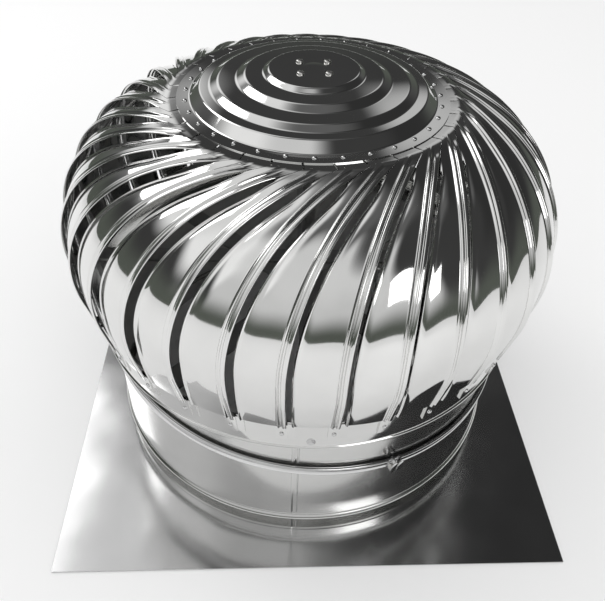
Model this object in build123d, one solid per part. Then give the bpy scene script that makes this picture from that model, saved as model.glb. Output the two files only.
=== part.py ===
from build123d import *
from math import acos, cos, degrees, hypot, radians, sin, sqrt, tan
import os

os.makedirs("parts", exist_ok=True)

# Roof turbine ventilator, standing on its flashing plate, spin axis on Z, heights from the roof.

# Neck: the rolled sheet duct under the head
neck_radius = 250.0
neck_sheet = 1.0
seam_width = 8.0
seam_height = 0.8
seam_heading = -94.7

# Flashing plate
plate_side = 600.0
beyond = 2 * plate_side
plate_sheet = 1.5
upstand_height = 28.0
upstand_gap = 0.1

# Collar between the plate and the slanted joint
foot_reach = 3.0
collar_bead_height = 29.4
collar_bead_reach = 4.0
collar_bead_half = 5.0

# Slanted joint: turning the throat on it tips the head to suit the pitch of the roof
joint_height = 138.3
joint_tilt = 5.86
joint_high_side = 159.5
rim_sheet = 1.0
rim_gap = 0.1
rim_reach = 3.6
rim_outer = neck_radius + rim_reach

# Clamp band round both rims
band_gap = 0.3
band_sheet = 1.0
band_half_height = 6.2
band_ridge = 2.0
band_lip_reach = 2.5
band_lip = neck_radius + band_lip_reach
lug_heading = -68.6
lug_gap = 6.0
lug_sheet = 2.5
lug_reach = 9.5
clamp_bolt_radius = 2.5
clamp_bolt_size = 8.0
clamp_bolt_head = 4.0

# Throat above the joint
throat_top = 205.0
throat_bead = 2.0

# Cross bracket and shaft
bracket_height = 170.0
bracket_turn = 45
bracket_width = 30.0
bracket_sheet = 3.0
bracket_tab = 24.0
wall_gap = 0.15
head_gap = 0.1
rivet_shank = 3.0
rivet_head = 5.0
rivet_head_height = 2.5
fit_gap = 0.05
shaft_radius = 8.0
shaft_waist = 10.0
shaft_flange = 15.0
shaft_flange_height = 5.0
shaft_tail = 24.0
shaft_tip_radius = 4.0
shaft_tip_stand = 2.0
shaft_nut_size = 24.0
shaft_nut_height = 10.0
top_nut_size = 13.0
top_nut_height = 7.0

# Bearings
bearing_height = 12.0
lower_bearing_base = 212.0
lower_race = 12.0
lower_bearing_radius = 16.0
upper_race = 8.5
upper_bearing_radius = 12.0

# Bearing holders on the rotor
hub_wall = 6.0
hub_lip = 2.5
hub_flange = 32.0
holder_throat = 13.0
housing_wall = 2.2
housing_throat = 10.5
housing_drop = 1.0
housing_flange = 28.0
housing_sheet = 3.0
crown_bolt_spacing = 29.0
crown_bolt_radius = 3.0
crown_nut_size = 10.0
crown_nut_height = 5.0
crown_head_height = 4.0
crown_bolt_stand = 1.0

# Spider between the lower hub and the ring
spider_turn = -1.1
spider_width = 24.0
spider_sheet = 3.0
spider_tab = 40.0
spider_rivet_height = 194.0
hub_rivet_head = 4.0
hub_rivet_cap = 1.0

# Bulb-shaped envelope of the blades: straight flank below, round shoulder above
head_reach = 33.5
bulb_radius = neck_radius + head_reach
shoulder_radius = 147.5
widest_height = 298.0
flank_slope = 13.8

# Blades
blade_count = 32
pitch = 360 / blade_count
blade_sheet = 1.0
blade_foot = 226.0
tip_reach = 16.0
blade_tip_radius = bulb_radius - shoulder_radius + tip_reach
edge_turn_in = 16.5
edge_foot_distance = blade_tip_radius - edge_turn_in
edge_foot_heading = -35.0
hem_width = 4.0
hem_height = 2.0
hem_fade = 8.0
hem_vanish_radius = blade_tip_radius + hem_fade
hem_end_radius = blade_tip_radius + 2 * hem_fade
slot_closing = 38.0
slot_closing_radius = blade_tip_radius + slot_closing
louvre_shutting = 48.0
louvre_shutting_radius = blade_tip_radius + louvre_shutting
groove_width = 1.8
rib_width = 4.0
rib_height = 2.0
bead_width = 3.0
bead_height = 1.5
louvre_rise = 7.0
slot_width = 5.0
slot_closed = 0.4
tip_sink = 0.3
foot_stand = 4.616
louvre_start = 3.0
tab_margin = 6.0
tab_lap = 2.0

# Blade feet
foot_tab_bottom = 201.0
foot_tab_lap = 3.0
foot_tab_top = blade_foot + foot_tab_lap
foot_tab_width = 12.0
foot_tab_shift = 5.0
foot_link = 20.0
rivet_height = 212.0
blade_rivet_radius = 2.5
blade_rivet_height = 1.8

# Ring that carries the blade feet
ring_bottom = 180.0
ring_clearance = 9.2
ring_bottom_radius = neck_radius + ring_clearance
ring_top = 232.0
ring_slope = 7.9
ring_sheet = 1.0
ring_bead = 1.6

# Top disc
disc_sheet = 1.0
flange_lift = 0.67
flange_height = widest_height + sqrt(shoulder_radius**2 - tip_reach**2) + flange_lift
flange_inset = 9.7
flange_radius = blade_tip_radius - flange_inset
rivet_inset = 8.6
disc_rivet_circle = flange_radius - rivet_inset
disc_rivet_heading = -69.5

# Steps pressed in the disc: how high each starts over the flange, how far it falls, and its
# ends as shares of the way from the crown to the dish
peak_rise = 28.1
crown_shoulder = 13.5
crown_radius = 47.0
crown_rise = 26.3
first_step_rise = 22.7
second_step_rise = 17.4
third_step_rise = 11.2
first_step_fall = 2.2
second_step_fall = 3.0
third_step_fall = 2.2
dish_inset = 13.8
disc_dish = flange_radius - dish_inset
step_ends = ((0.061, 0.302), (0.405, 0.644), (0.742, 0.883))
step_rises = (first_step_rise, second_step_rise, third_step_rise)
step_falls = (first_step_fall, second_step_fall, third_step_fall)
upper_bearing_drop = 1.3
upper_bearing_base = flange_height - upper_bearing_drop

slant_axis = Vector(
    -sin(radians(joint_tilt)) * cos(radians(joint_high_side)),
    -sin(radians(joint_tilt)) * sin(radians(joint_high_side)),
    cos(radians(joint_tilt)),
)
lug_direction = Vector(cos(radians(lug_heading)), sin(radians(lug_heading)), 0)
slant = Plane(origin=(0, 0, joint_height), x_dir=lug_direction, z_dir=slant_axis)


def turned(points):
    """Solid of revolution about Z from an outline of (radius, height) points."""
    outline = Plane.XZ * Polyline(*points, close=True)
    return revolve(make_face(outline), Axis.Z)


def tube(outer, inner, bottom, top):
    return turned([(inner, bottom), (outer, bottom), (outer, top), (inner, top)])


def rim_face(side):
    """Where a rim meets the slanted joint: just below it for side -1, just above it for side 1."""
    return slant * Location((0, 0, side * rim_gap / 2))


def cut_at_joint(solid, side):
    """What is left of a solid beyond its rim's face, with the rim added."""
    away = (Align.CENTER, Align.CENTER, Align.MAX if side > 0 else Align.MIN)
    towards = (Align.CENTER, Align.CENTER, Align.MIN if side > 0 else Align.MAX)
    kept = solid - rim_face(side) * Box(beyond, beyond, beyond, align=away)
    return kept + rim_face(side) * Cylinder(rim_outer, rim_sheet, align=towards)


def seam(bottom, top):
    """Folded lock seam that runs up the neck."""
    middle = Location((0, 0, (bottom + top) / 2))
    strip = Box(2 * seam_height, seam_width, top - bottom)
    return middle * Rot(Z=seam_heading) * Location((neck_radius, 0, 0)) * strip


def hexagon(size, height, bore):
    """Nut or bolt head, measured across its flats, standing on Z = 0."""
    outline = RegularPolygon(size / 2, 6, major_radius=False, rotation=30)
    block = extrude(outline, height)
    if bore:
        block -= Cylinder(bore, 3 * height)
    return block


def base_plate():
    sheet = Box(plate_side, plate_side, plate_sheet, align=(Align.CENTER, Align.CENTER, Align.MIN))
    rim_radius = neck_radius - neck_sheet - upstand_gap
    rim = tube(rim_radius, rim_radius - plate_sheet, 0, upstand_height)
    hole = Cylinder(rim_radius - plate_sheet, 4 * upstand_height)
    return sheet + rim - hole


def lower_collar():
    foot_top = plate_sheet + neck_sheet
    wall = turned([
        (0, plate_sheet),
        (neck_radius + foot_reach, plate_sheet),
        (neck_radius + foot_reach, foot_top),
        (neck_radius, foot_top),
        (neck_radius, collar_bead_height - collar_bead_half),
        (neck_radius + collar_bead_reach, collar_bead_height),
        (neck_radius, collar_bead_height + collar_bead_half),
        (neck_radius, 2 * joint_height),
        (0, 2 * joint_height),
    ])
    wall += seam(collar_bead_height + collar_bead_half, 1.5 * joint_height)
    return cut_at_joint(wall, -1) - Cylinder(neck_radius - neck_sheet, beyond)


def upper_throat():
    wall = turned([
        (0, 0),
        (neck_radius, 0),
        (neck_radius, throat_top - 2 * throat_bead),
        (neck_radius + throat_bead, throat_top - throat_bead),
        (neck_radius, throat_top),
        (0, throat_top),
    ])
    wall += seam(joint_height / 2, throat_top - 3 * throat_bead)
    shell = cut_at_joint(wall, 1) - Cylinder(neck_radius - neck_sheet, beyond)
    return shell - bracket_fixings(rivet_shank + fit_gap, 0)


def clamp_band():
    """Strap with a ridge along each edge, split at the lugs that draw it tight."""
    web_inner = rim_outer + band_gap
    web_outer = web_inner + band_sheet
    ridge = band_half_height - band_ridge
    half = [
        (web_outer, ridge - band_ridge),
        (web_outer + band_sheet, ridge),
        (web_outer, band_half_height),
        (band_lip, band_half_height - band_sheet / 2),
        (band_lip, ridge),
        (web_inner, ridge - band_ridge / 2),
    ]
    mirrored = [(radius, -height) for radius, height in reversed(half)]
    strap = turned(half + mirrored)
    split = Box(lug_reach, lug_gap, 4 * band_half_height)
    strap -= Location((web_inner, 0, 0)) * split
    for side in (-1, 1):
        place = Location((web_inner, side * (lug_gap + lug_sheet) / 2, 0))
        root = (Align.MIN, Align.CENTER, Align.CENTER)
        lug = Box(lug_reach, lug_sheet, 2 * band_half_height, align=root)
        lug = fillet(lug.edges().filter_by(Axis.Y).group_by(Axis.X)[-1], band_half_height / 2)
        strap += place * lug
    strap -= clamp_place() * Cylinder(clamp_bolt_radius + fit_gap, 4 * lug_gap)
    return slant * strap


def clamp_place():
    """Middle of the clamp bolt, along the tangent of the band."""
    reach = rim_outer + band_gap + 0.62 * lug_reach
    return Location((reach, 0, 0)) * Rot(X=90)


def clamp_bolt():
    face = lug_gap / 2 + lug_sheet
    tail = face + 2 * clamp_bolt_head
    shank = Location((0, 0, (face - tail) / 2)) * Cylinder(clamp_bolt_radius, face + tail)
    head = Location((0, 0, face)) * hexagon(clamp_bolt_size, clamp_bolt_head, 0)
    return slant * clamp_place() * (shank + head)


def clamp_nut():
    face = lug_gap / 2 + lug_sheet
    nut = hexagon(clamp_bolt_size, clamp_bolt_head, clamp_bolt_radius + fit_gap)
    return slant * clamp_place() * Location((0, 0, -face - clamp_bolt_head)) * nut


def on_four_arms(solid, first=0):
    return Compound([Rot(Z=first + turn) * solid for turn in range(0, 360, 90)])


def wall_face(wall, height, slope=0):
    """Place on the outer face of a wall on the +X side, with Z pointing straight out of it."""
    return Location((wall, 0, height)) * Rot(Y=90 + slope)


def wall_pin(radius, wall, height, start, end, slope=0):
    """Round pin square to a wall, from one distance off its face to another."""
    middle = Location((0, 0, (start + end) / 2))
    return wall_face(wall, height, slope) * middle * Cylinder(radius, end - start)


def rivet_cap(radius, height):
    """Rivet head standing on Z = 0, narrower at its top."""
    outline = RegularPolygon(radius, 8)
    return extrude(outline, height, taper=30)


def bracket_fixings(shank, head):
    """Four pins through the throat and the bracket's tabs, with a head at each end."""
    height = bracket_height + bracket_sheet + bracket_tab / 2
    depth = -(neck_sheet + wall_gap + bracket_sheet + head_gap)
    pin = wall_pin(shank, neck_radius, height, depth, neck_sheet)
    if head:
        face = wall_face(neck_radius, height)
        pin += face * rivet_cap(head, rivet_head_height)
        pin += face * Location((0, 0, depth)) * Rot(X=180) * rivet_cap(head, rivet_head_height)
    return on_four_arms(pin, bracket_turn)


def shaft_bracket():
    """Cross of flat bar with turned-up ends that fit the wall of the throat."""
    reach = neck_radius - neck_sheet - wall_gap
    bar = Box(2 * reach, bracket_width, bracket_sheet, align=(Align.CENTER, Align.CENTER, Align.MIN))
    cross = bar + Rot(Z=90) * bar
    height = bracket_sheet + bracket_tab
    tab = Box(3 * bracket_sheet, bracket_width, height, align=(Align.MAX, Align.CENTER, Align.MIN))
    tab = Location((reach, 0, 0)) * tab
    tab -= Cylinder(reach - bracket_sheet, 4 * bracket_tab)
    cross += [Rot(Z=turn) * tab for turn in range(0, 360, 90)]
    cross = Location((0, 0, bracket_height)) * Rot(Z=bracket_turn) * cross
    cross &= Cylinder(reach, beyond)
    return cross - Cylinder(shaft_radius + fit_gap, beyond) - bracket_fixings(rivet_shank + fit_gap, 0)


def centre_shaft():
    seat = bracket_height + bracket_sheet
    tip = upper_bearing_base + bearing_height + top_nut_height + shaft_tip_stand
    return turned([
        (0, bracket_height - shaft_tail),
        (shaft_radius, bracket_height - shaft_tail),
        (shaft_radius, seat),
        (shaft_flange, seat),
        (shaft_flange, seat + shaft_flange_height),
        (shaft_waist, seat + shaft_flange_height),
        (shaft_waist, lower_bearing_base),
        (shaft_radius, lower_bearing_base),
        (shaft_radius, upper_bearing_base),
        (shaft_tip_radius, upper_bearing_base),
        (shaft_tip_radius, tip),
        (0, tip),
    ])


def shaft_nuts():
    """Nut and lock nut under the bracket."""
    nut = hexagon(shaft_nut_size, shaft_nut_height, shaft_radius + fit_gap)
    levels = [bracket_height - shaft_nut_height, bracket_height - 2 * shaft_nut_height]
    return Compound([Location((0, 0, level)) * nut for level in levels])


def shaft_nut_top():
    nut = hexagon(top_nut_size, top_nut_height, shaft_tip_radius + fit_gap)
    return Location((0, 0, upper_bearing_base + bearing_height)) * nut


def bearing_ring(outer, inner, base):
    return tube(outer, inner, base, base + bearing_height)


def lower_hub():
    """Cup for the lower bearing, with the flange that the spider is riveted to."""
    top = lower_bearing_base + bearing_height
    bore = lower_bearing_radius + fit_gap
    return turned([
        (holder_throat, lower_bearing_base - hub_lip),
        (bore + hub_wall, lower_bearing_base - hub_lip),
        (bore + hub_wall, top - spider_sheet),
        (hub_flange, top - spider_sheet),
        (hub_flange, top),
        (bore, top),
        (bore, lower_bearing_base),
        (holder_throat, lower_bearing_base),
    ]) - hub_fixings(rivet_shank / 2 + fit_gap, 0)


def hub_fixings(shank, head):
    """Rivets that hold the spider to the flange of the hub, one on each arm."""
    base = lower_bearing_base + bearing_height
    place = Location(((lower_bearing_radius + hub_wall + hub_flange) / 2, 0, base))
    pin = place * Cylinder(shank, 2 * spider_sheet)
    if head:
        pin += place * Location((0, 0, spider_sheet)) * rivet_cap(head, hub_rivet_cap)
        pin += place * Location((0, 0, -spider_sheet)) * Rot(X=180) * rivet_cap(head, hub_rivet_cap)
    return on_four_arms(pin, spider_turn)


def rotor_spider():
    """Cross of flat bar whose ends turn down outside the throat and follow the ring."""
    base = lower_bearing_base + bearing_height
    top = base + spider_sheet
    bottom = top - spider_tab
    flat = (Align.CENTER, Align.CENTER, Align.MIN)
    bar = Box(2 * bulb_radius, spider_width, spider_sheet, align=flat)
    cross = bar + Rot(Z=90) * bar
    tab = Location((bulb_radius, 0, 0)) * Box(bulb_radius, spider_width, 2 * spider_tab)
    cross += [Rot(Z=turn) * tab for turn in range(0, 360, 90)]
    outer = cone(ring_sheet + wall_gap, bottom, top)
    inner = cone(ring_sheet + wall_gap + spider_sheet, bottom, base)
    cross = Location((0, 0, base)) * Rot(Z=spider_turn) * cross & outer - inner
    cross -= Cylinder(holder_throat, beyond)
    return cross - hub_fixings(rivet_shank / 2 + fit_gap, 0) - ring_fixings(rivet_shank + fit_gap, 0)


def ring_radius(height):
    """Outer face of the ring, which leans outward as it rises."""
    return ring_bottom_radius + (height - ring_bottom) * tan(radians(ring_slope))


def cone(inset, bottom, top):
    """Solid inside the ring, held off its outer face by an inset."""
    return turned([
        (0, bottom),
        (ring_radius(bottom) - inset, bottom),
        (ring_radius(top) - inset, top),
        (0, top),
    ])


def ring_fixings(shank, head):
    """Rivets that hold the spider's tabs to the ring."""
    wall = ring_radius(spider_rivet_height)
    depth = -(ring_sheet + wall_gap + spider_sheet + head_gap)
    pin = wall_pin(shank, wall, spider_rivet_height, depth, ring_sheet, ring_slope)
    if head:
        face = wall_face(wall, spider_rivet_height, ring_slope)
        pin += face * rivet_cap(head, rivet_head_height)
        pin += face * Location((0, 0, depth)) * Rot(X=180) * rivet_cap(head, rivet_head_height)
    return on_four_arms(pin, spider_turn)


def spider_rivets():
    pins = hub_fixings(rivet_shank / 2, hub_rivet_head).solids()
    pins += ring_fixings(rivet_shank, rivet_head).solids()
    return Compound(pins)


def lower_ring():
    middle = ring_bottom + ring_bead
    ring = turned([
        (ring_radius(ring_bottom) - ring_sheet, ring_bottom),
        (ring_radius(ring_bottom), ring_bottom),
        (ring_radius(middle) + ring_bead, middle),
        (ring_radius(middle + ring_bead), middle + ring_bead),
        (ring_radius(ring_top), ring_top),
        (ring_radius(ring_top) - ring_sheet, ring_top),
    ])
    return ring - ring_fixings(rivet_shank + fit_gap, 0)


def disc_outline():
    """Top face of the pressed disc, from the axis out: crown, then steps down to the flange."""
    outline = [(0, peak_rise), (crown_shoulder, crown_rise), (crown_radius, crown_rise)]
    for (start, end), rise, fall in zip(step_ends, step_rises, step_falls):
        way = disc_dish - crown_radius
        outline += [(crown_radius + start * way, rise), (crown_radius + end * way, rise - fall)]
    outline += [(disc_dish, 0), (flange_radius, 0)]
    return [(radius, flange_height + rise) for radius, rise in outline]


def top_disc():
    upper = disc_outline()
    lower = [(radius, height - disc_sheet) for radius, height in reversed(upper)]
    return turned(upper + lower) - crown_pins(crown_bolt_radius + fit_gap)


def at_crown_bolts(solid):
    half = crown_bolt_spacing / 2
    corners = [(half, half), (-half, half), (-half, -half), (half, -half)]
    return Compound([Location((x, y, 0)) * solid for x, y in corners])


def crown_height():
    return disc_outline()[2][1]


def crown_pins(radius):
    middle = Location((0, 0, crown_height() - disc_sheet))
    return at_crown_bolts(middle * Cylinder(radius, 4 * housing_sheet))


def bearing_housing():
    """Flanged cup bolted under the crown; its shoulder rides on the upper bearing."""
    top = crown_height() - disc_sheet
    bearing_top = upper_bearing_base + bearing_height
    bore = upper_bearing_radius + fit_gap
    wall = bore + housing_wall
    return turned([
        (bore, upper_bearing_base - housing_drop),
        (wall, upper_bearing_base - housing_drop),
        (wall, top - housing_sheet),
        (housing_flange, top - housing_sheet),
        (housing_flange, top),
        (housing_throat, top),
        (housing_throat, bearing_top),
        (bore, bearing_top),
    ]) - crown_pins(crown_bolt_radius + fit_gap)


def housing_bolts():
    top = crown_height()
    reach = disc_sheet + housing_sheet + crown_nut_height + crown_bolt_stand
    head = hexagon(crown_nut_size, crown_head_height, 0)
    shank = Cylinder(crown_bolt_radius, reach, align=(Align.CENTER, Align.CENTER, Align.MAX))
    return at_crown_bolts(Location((0, 0, top)) * (head + shank))


def housing_nuts():
    base = crown_height() - disc_sheet - housing_sheet - crown_nut_height
    nut = hexagon(crown_nut_size, crown_nut_height, crown_bolt_radius + fit_gap)
    return at_crown_bolts(Location((0, 0, base)) * nut)


def travel_at_radius(radius):
    """Distance up the bulb from its widest line, for a place on the shoulder."""
    return shoulder_radius * acos((radius - bulb_radius + shoulder_radius) / shoulder_radius)


def flank_start():
    return -shoulder_radius * radians(flank_slope)


def shoulder_point(lean):
    """Radius and height on the round shoulder."""
    radius = bulb_radius - shoulder_radius * (1 - cos(lean))
    return radius, widest_height + shoulder_radius * sin(lean)


def flank_run():
    """How far the straight flank goes out and up, from a blade's foot over the ring."""
    radius, height = shoulder_point(-radians(flank_slope))
    return radius - ring_radius(blade_foot) - foot_stand, height - blade_foot


def travel_at_foot(height):
    """Distance up the bulb, for a height on the straight flank."""
    out, up = flank_run()
    below = blade_foot + up - height
    return flank_start() - hypot(out, up) * below / up


def bulb_point(travel):
    """Radius, height and lean of the outward normal of the bulb."""
    lean = max(travel, flank_start()) / shoulder_radius
    radius, height = shoulder_point(lean)
    out, up = flank_run()
    past = min(travel - flank_start(), 0) / hypot(out, up)
    return radius + past * out, height + past * up, lean


def edge_heading(radius):
    """Heading of a blade's outer edge, which in plan is a line that passes the axis."""
    return edge_foot_heading - degrees(acos(edge_foot_distance / radius))


def edge_slant(travel):
    """How much longer a level cut across the blade is than a square one."""
    radius, _, lean = bulb_point(travel)
    along = edge_foot_distance / sqrt(radius**2 - edge_foot_distance**2)
    return sqrt(1 + (sin(max(lean, 0)) * along) ** 2)


def ease(value, start, end):
    """Smooth step from 0 at the start to 1 at the end."""
    share = min(max((value - start) / (end - start), 0), 1)
    return share * share * (3 - 2 * share)


def blade_section(travel):
    """Corners of the sheet across a blade: hem, groove, rib, panel and rolled inner edge."""
    radius, height, lean = bulb_point(travel)
    slant_share = edge_slant(travel)
    closing = ease(travel, travel_at_radius(slot_closing_radius), travel_at_radius(hem_vanish_radius))
    slot = slot_width + (slot_closed - slot_width) * closing
    flattening = ease(travel, travel_at_radius(hem_end_radius), travel_at_radius(blade_tip_radius))
    sink = hem_height + (tip_sink - hem_height) * flattening
    opening = ease(travel, travel_at_foot(ring_top + louvre_start), 0)
    shutting = ease(travel, travel_at_radius(louvre_shutting_radius), travel_at_radius(hem_vanish_radius))
    rise = (blade_sheet + (louvre_rise - blade_sheet) * opening) * (1 - shutting)
    right = edge_heading(bulb_radius if travel < 0 else radius)
    left = right - pitch + degrees(slot * slant_share / radius)
    hem = hem_height * (1 - ease(travel, travel_at_radius(hem_end_radius), travel_at_radius(hem_vanish_radius)))

    def panel_point(heading, depth):
        out = radius - depth * cos(lean)
        return Vector(
            out * cos(radians(heading)),
            out * sin(radians(heading)),
            height - depth * sin(lean),
        )

    start = panel_point(right, sink)
    end = panel_point(left, sink + rise)
    width = (end - start).length
    across = (end - start).normalized()
    middle = radians((left + right) / 2)
    outward = Vector(cos(lean) * cos(middle), cos(lean) * sin(middle), sin(lean))
    bow = radius * (1 - cos(radians(right - left) / 2)) * cos(lean)
    rib = rib_height * (1 - flattening)
    bead = bead_height * (1 - shutting)
    groove_end = hem_width + groove_width
    offsets = [
        (0, hem),
        (hem_width, hem),
        (groove_end, 0),
        (groove_end + rib_width / 2, rib),
        (groove_end + rib_width, 0),
        (width / slant_share / 2, 0),
        (width / slant_share - bead_width, 0),
        (width / slant_share - bead_width / 2, bead),
        (width / slant_share, 0),
        (width / slant_share, -blade_sheet),
        (width / slant_share / 2, -blade_sheet),
        (0, -blade_sheet),
    ]
    plane = Plane(origin=start, x_dir=across, z_dir=across.cross(outward))
    points = []
    for distance, proud in offsets:
        along = distance * slant_share
        crown = 4 * bow * along / width * (1 - along / width)
        points.append(plane.from_local_coords((along, proud + crown)))
    return points


def flat_face(*corners):
    return Face(Wire.make_polygon(corners, close=True))


def skinned(sections):
    """Solid through a row of outlines, with flat faces between each outline and the next."""
    faces = [flat_face(*sections[0]), flat_face(*sections[-1])]
    for this, following in zip(sections, sections[1:]):
        for corner in range(len(this)):
            after = (corner + 1) % len(this)
            faces.append(flat_face(this[corner], this[after], following[after]))
            faces.append(flat_face(this[corner], following[after], following[corner]))
    return Solid(Shell(faces))


def polar(radius, heading):
    return radius * cos(radians(heading)), radius * sin(radians(heading))


def rivet_heading():
    """Heading of the rivet at a blade's outer foot corner."""
    return edge_heading(bulb_radius) - degrees(foot_tab_shift / ring_radius(rivet_height))


def foot_tab(start, end, layer, heading):
    """Strip that lies on the ring, from one place to another along it."""
    slope = radians(ring_slope)
    length = (foot_tab_top - foot_tab_bottom) / cos(slope)
    strip = Box(blade_sheet, end - start, length, align=(Align.MIN, Align.MIN, Align.MIN))
    base = Location((ring_radius(foot_tab_bottom), 0, foot_tab_bottom)) * Rot(Y=ring_slope)
    return Rot(Z=heading) * base * Location((layer * blade_sheet, start, 0)) * strip


def blade():
    """One louvre blade, with the tab under the disc and two tabs on the ring."""
    foot = travel_at_foot(blade_foot)
    hem_end = travel_at_radius(hem_end_radius)
    hem_vanish = travel_at_radius(hem_vanish_radius)
    tip = travel_at_radius(blade_tip_radius)
    travels = [foot, (foot + flank_start()) / 2, flank_start(), 0]
    travels += [share * hem_end for share in (0.19, 0.375, 0.55, 0.715, 0.875)]
    travels += [hem_end, hem_vanish, tip]
    panel = skinned([blade_section(travel) for travel in travels])
    tab_root = blade_tip_radius + tab_lap
    inner = disc_rivet_circle - tab_margin
    tab_outline = Polyline(
        polar(inner, disc_rivet_heading - pitch / 2 + 1),
        polar(inner, disc_rivet_heading + pitch / 2 - 1),
        polar(tab_root, edge_heading(tab_root) - 0.5),
        polar(tab_root, edge_heading(blade_tip_radius) - pitch + 0.5),
        close=True,
    )
    top_tab = extrude(make_face(tab_outline), -blade_sheet)
    top_tab = Location((0, 0, flange_height - disc_sheet)) * top_tab
    half = foot_tab_width / 2
    outer_tab = foot_tab(-half, half, 1, rivet_heading())
    inner_tab = foot_tab(-half, foot_link - half, 0, rivet_heading() - pitch)
    return panel + top_tab + outer_tab + inner_tab


def top_rivets():
    place = Rot(Z=disc_rivet_heading) * Location((disc_rivet_circle, 0, flange_height))
    head = place * rivet_cap(blade_rivet_radius, blade_rivet_height)
    return Compound([Rot(Z=index * pitch) * head for index in range(blade_count)])


def ring_rivets():
    face = ring_radius(rivet_height) + 2 * blade_sheet / cos(radians(ring_slope))
    place = Rot(Z=rivet_heading()) * Location((face, 0, rivet_height)) * Rot(Y=90 + ring_slope)
    head = place * rivet_cap(blade_rivet_radius, blade_rivet_height)
    return Compound([Rot(Z=index * pitch) * head for index in range(blade_count)])


lower_inner = shaft_radius + fit_gap
upper_inner = shaft_tip_radius + fit_gap

parts = {
    "base_plate": base_plate(),
    "lower_collar": lower_collar(),
    "clamp_band": clamp_band(),
    "clamp_bolt": clamp_bolt(),
    "clamp_nut": clamp_nut(),
    "upper_throat": upper_throat(),
    "shaft_bracket": shaft_bracket(),
    "bracket_rivets": bracket_fixings(rivet_shank, rivet_head),
    "centre_shaft": centre_shaft(),
    "shaft_nuts": shaft_nuts(),
    "shaft_nut_top": shaft_nut_top(),
    "lower_inner_ring": bearing_ring(lower_race, lower_inner, lower_bearing_base),
    "upper_inner_ring": bearing_ring(upper_race, upper_inner, upper_bearing_base),
    "lower_ring": lower_ring(),
    "rotor_spider": rotor_spider(),
    "spider_rivets": spider_rivets(),
    "lower_hub": lower_hub(),
    "lower_outer_ring": bearing_ring(lower_bearing_radius, lower_race + fit_gap, lower_bearing_base),
    "top_disc": top_disc(),
    "bearing_housing": bearing_housing(),
    "housing_bolts": housing_bolts(),
    "housing_nuts": housing_nuts(),
    "upper_outer_ring": bearing_ring(upper_bearing_radius, upper_race + fit_gap, upper_bearing_base),
    "top_rivets": top_rivets(),
    "ring_rivets": ring_rivets(),
}

one_blade = blade()
for index in range(blade_count):
    parts[f"blade_{index + 1:02d}"] = Rot(Z=index * pitch) * one_blade

for name, solid in parts.items():
    export_step(solid, f"parts/{name}.step")
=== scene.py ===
from math import acos, atan2, cos, pi, radians, sin, sqrt, tan

import bpy
from mathutils import Matrix, Vector


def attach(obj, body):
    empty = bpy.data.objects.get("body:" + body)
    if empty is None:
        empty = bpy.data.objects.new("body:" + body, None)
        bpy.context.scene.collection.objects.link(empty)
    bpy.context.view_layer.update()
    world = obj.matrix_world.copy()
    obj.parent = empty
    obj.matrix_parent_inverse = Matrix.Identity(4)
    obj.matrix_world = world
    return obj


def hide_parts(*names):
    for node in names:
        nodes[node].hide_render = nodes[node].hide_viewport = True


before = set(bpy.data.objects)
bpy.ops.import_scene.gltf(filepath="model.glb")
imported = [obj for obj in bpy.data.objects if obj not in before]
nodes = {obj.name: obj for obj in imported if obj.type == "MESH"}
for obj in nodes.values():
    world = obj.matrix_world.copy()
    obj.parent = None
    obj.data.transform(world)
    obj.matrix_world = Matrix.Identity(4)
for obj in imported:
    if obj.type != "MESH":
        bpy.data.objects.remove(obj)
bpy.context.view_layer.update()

scene = bpy.context.scene
scene.view_settings.view_transform = "Standard"

# ---------------------------------------------------------------------------
# The view: a camera held above head height close to the ventilator, so that
# the head looms over its neck, and tipped slightly to one side.
bpy.ops.object.select_all(action="DESELECT")
bpy.ops.object.camera_add()
camera = bpy.context.object
camera.name = "camera"
camera.data.sensor_width = 36
camera.data.lens = 39.07
camera.data.clip_start = 0.01
camera_place = (-0.0397, -0.6531, 0.7502)
camera_heading = radians(-3.11)
camera_pitch = radians(47.39)
camera_roll = radians(1.91)
camera.matrix_world = (
    Matrix.Translation(camera_place)
    @ Matrix.Rotation(camera_heading, 4, "Z")
    @ Matrix.Rotation(camera_pitch, 4, "X")
    @ Matrix.Rotation(camera_roll, 4, "Z")
)
scene.camera = camera

# ---------------------------------------------------------------------------
# The studio: a plain pale floor that keeps the shadow, a surround that is
# white to the eye and in the metal, and two soft lamps.
floor_side = 40
floor_level = -0.0005
white_level = 1.0
daylight_level = 0.91
bpy.ops.object.select_all(action="DESELECT")
bpy.ops.mesh.primitive_plane_add(size=floor_side, location=(0, 0, floor_level))
floor = bpy.context.object
floor.name = "floor"
bpy.ops.object.transform_apply(location=True, rotation=True, scale=True)
floor_paint = bpy.data.materials.new("floor_paint")
floor_paint.use_nodes = True
floor_surface = floor_paint.node_tree.nodes["Principled BSDF"]
floor_surface.inputs["Base Color"].default_value = (0.93, 0.93, 0.93, 1)
floor_surface.inputs["Roughness"].default_value = 0.95
floor_surface.inputs["Specular IOR Level"].default_value = 0.1
floor.data.materials.append(floor_paint)

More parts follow.
